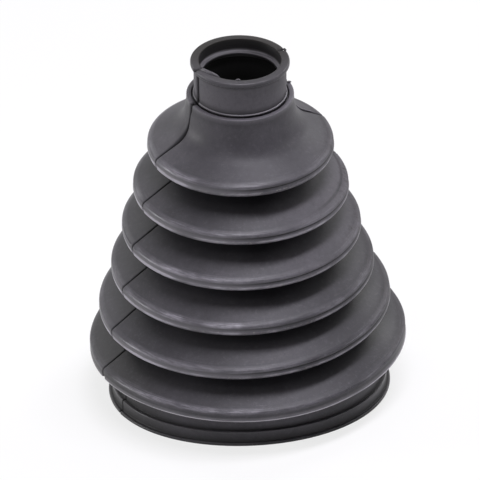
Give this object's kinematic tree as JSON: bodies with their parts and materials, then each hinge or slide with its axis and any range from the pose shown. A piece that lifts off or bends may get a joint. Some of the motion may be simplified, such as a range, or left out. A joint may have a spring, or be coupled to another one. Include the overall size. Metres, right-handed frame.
{
  "type": "rubber bellows boot",
  "caption": "Tapering rubber bellows that seals a drive shaft's joint, with a wide cuff for the joint's housing and a narrow ribbed neck for the shaft.",
  "frame": {"origin": "centre of the open edge of the large end, on the boot's axis", "axes": "+Z along the boot's axis, from the large end to the small end"},
  "size_m": [0.0998, 0.0998, 0.1179],
  "materials": {
    "rubber": "satin moulded rubber"
  },
  "bodies": {
    "root": {"bellows_boot": "rubber"}
  },
  "joints": []
}
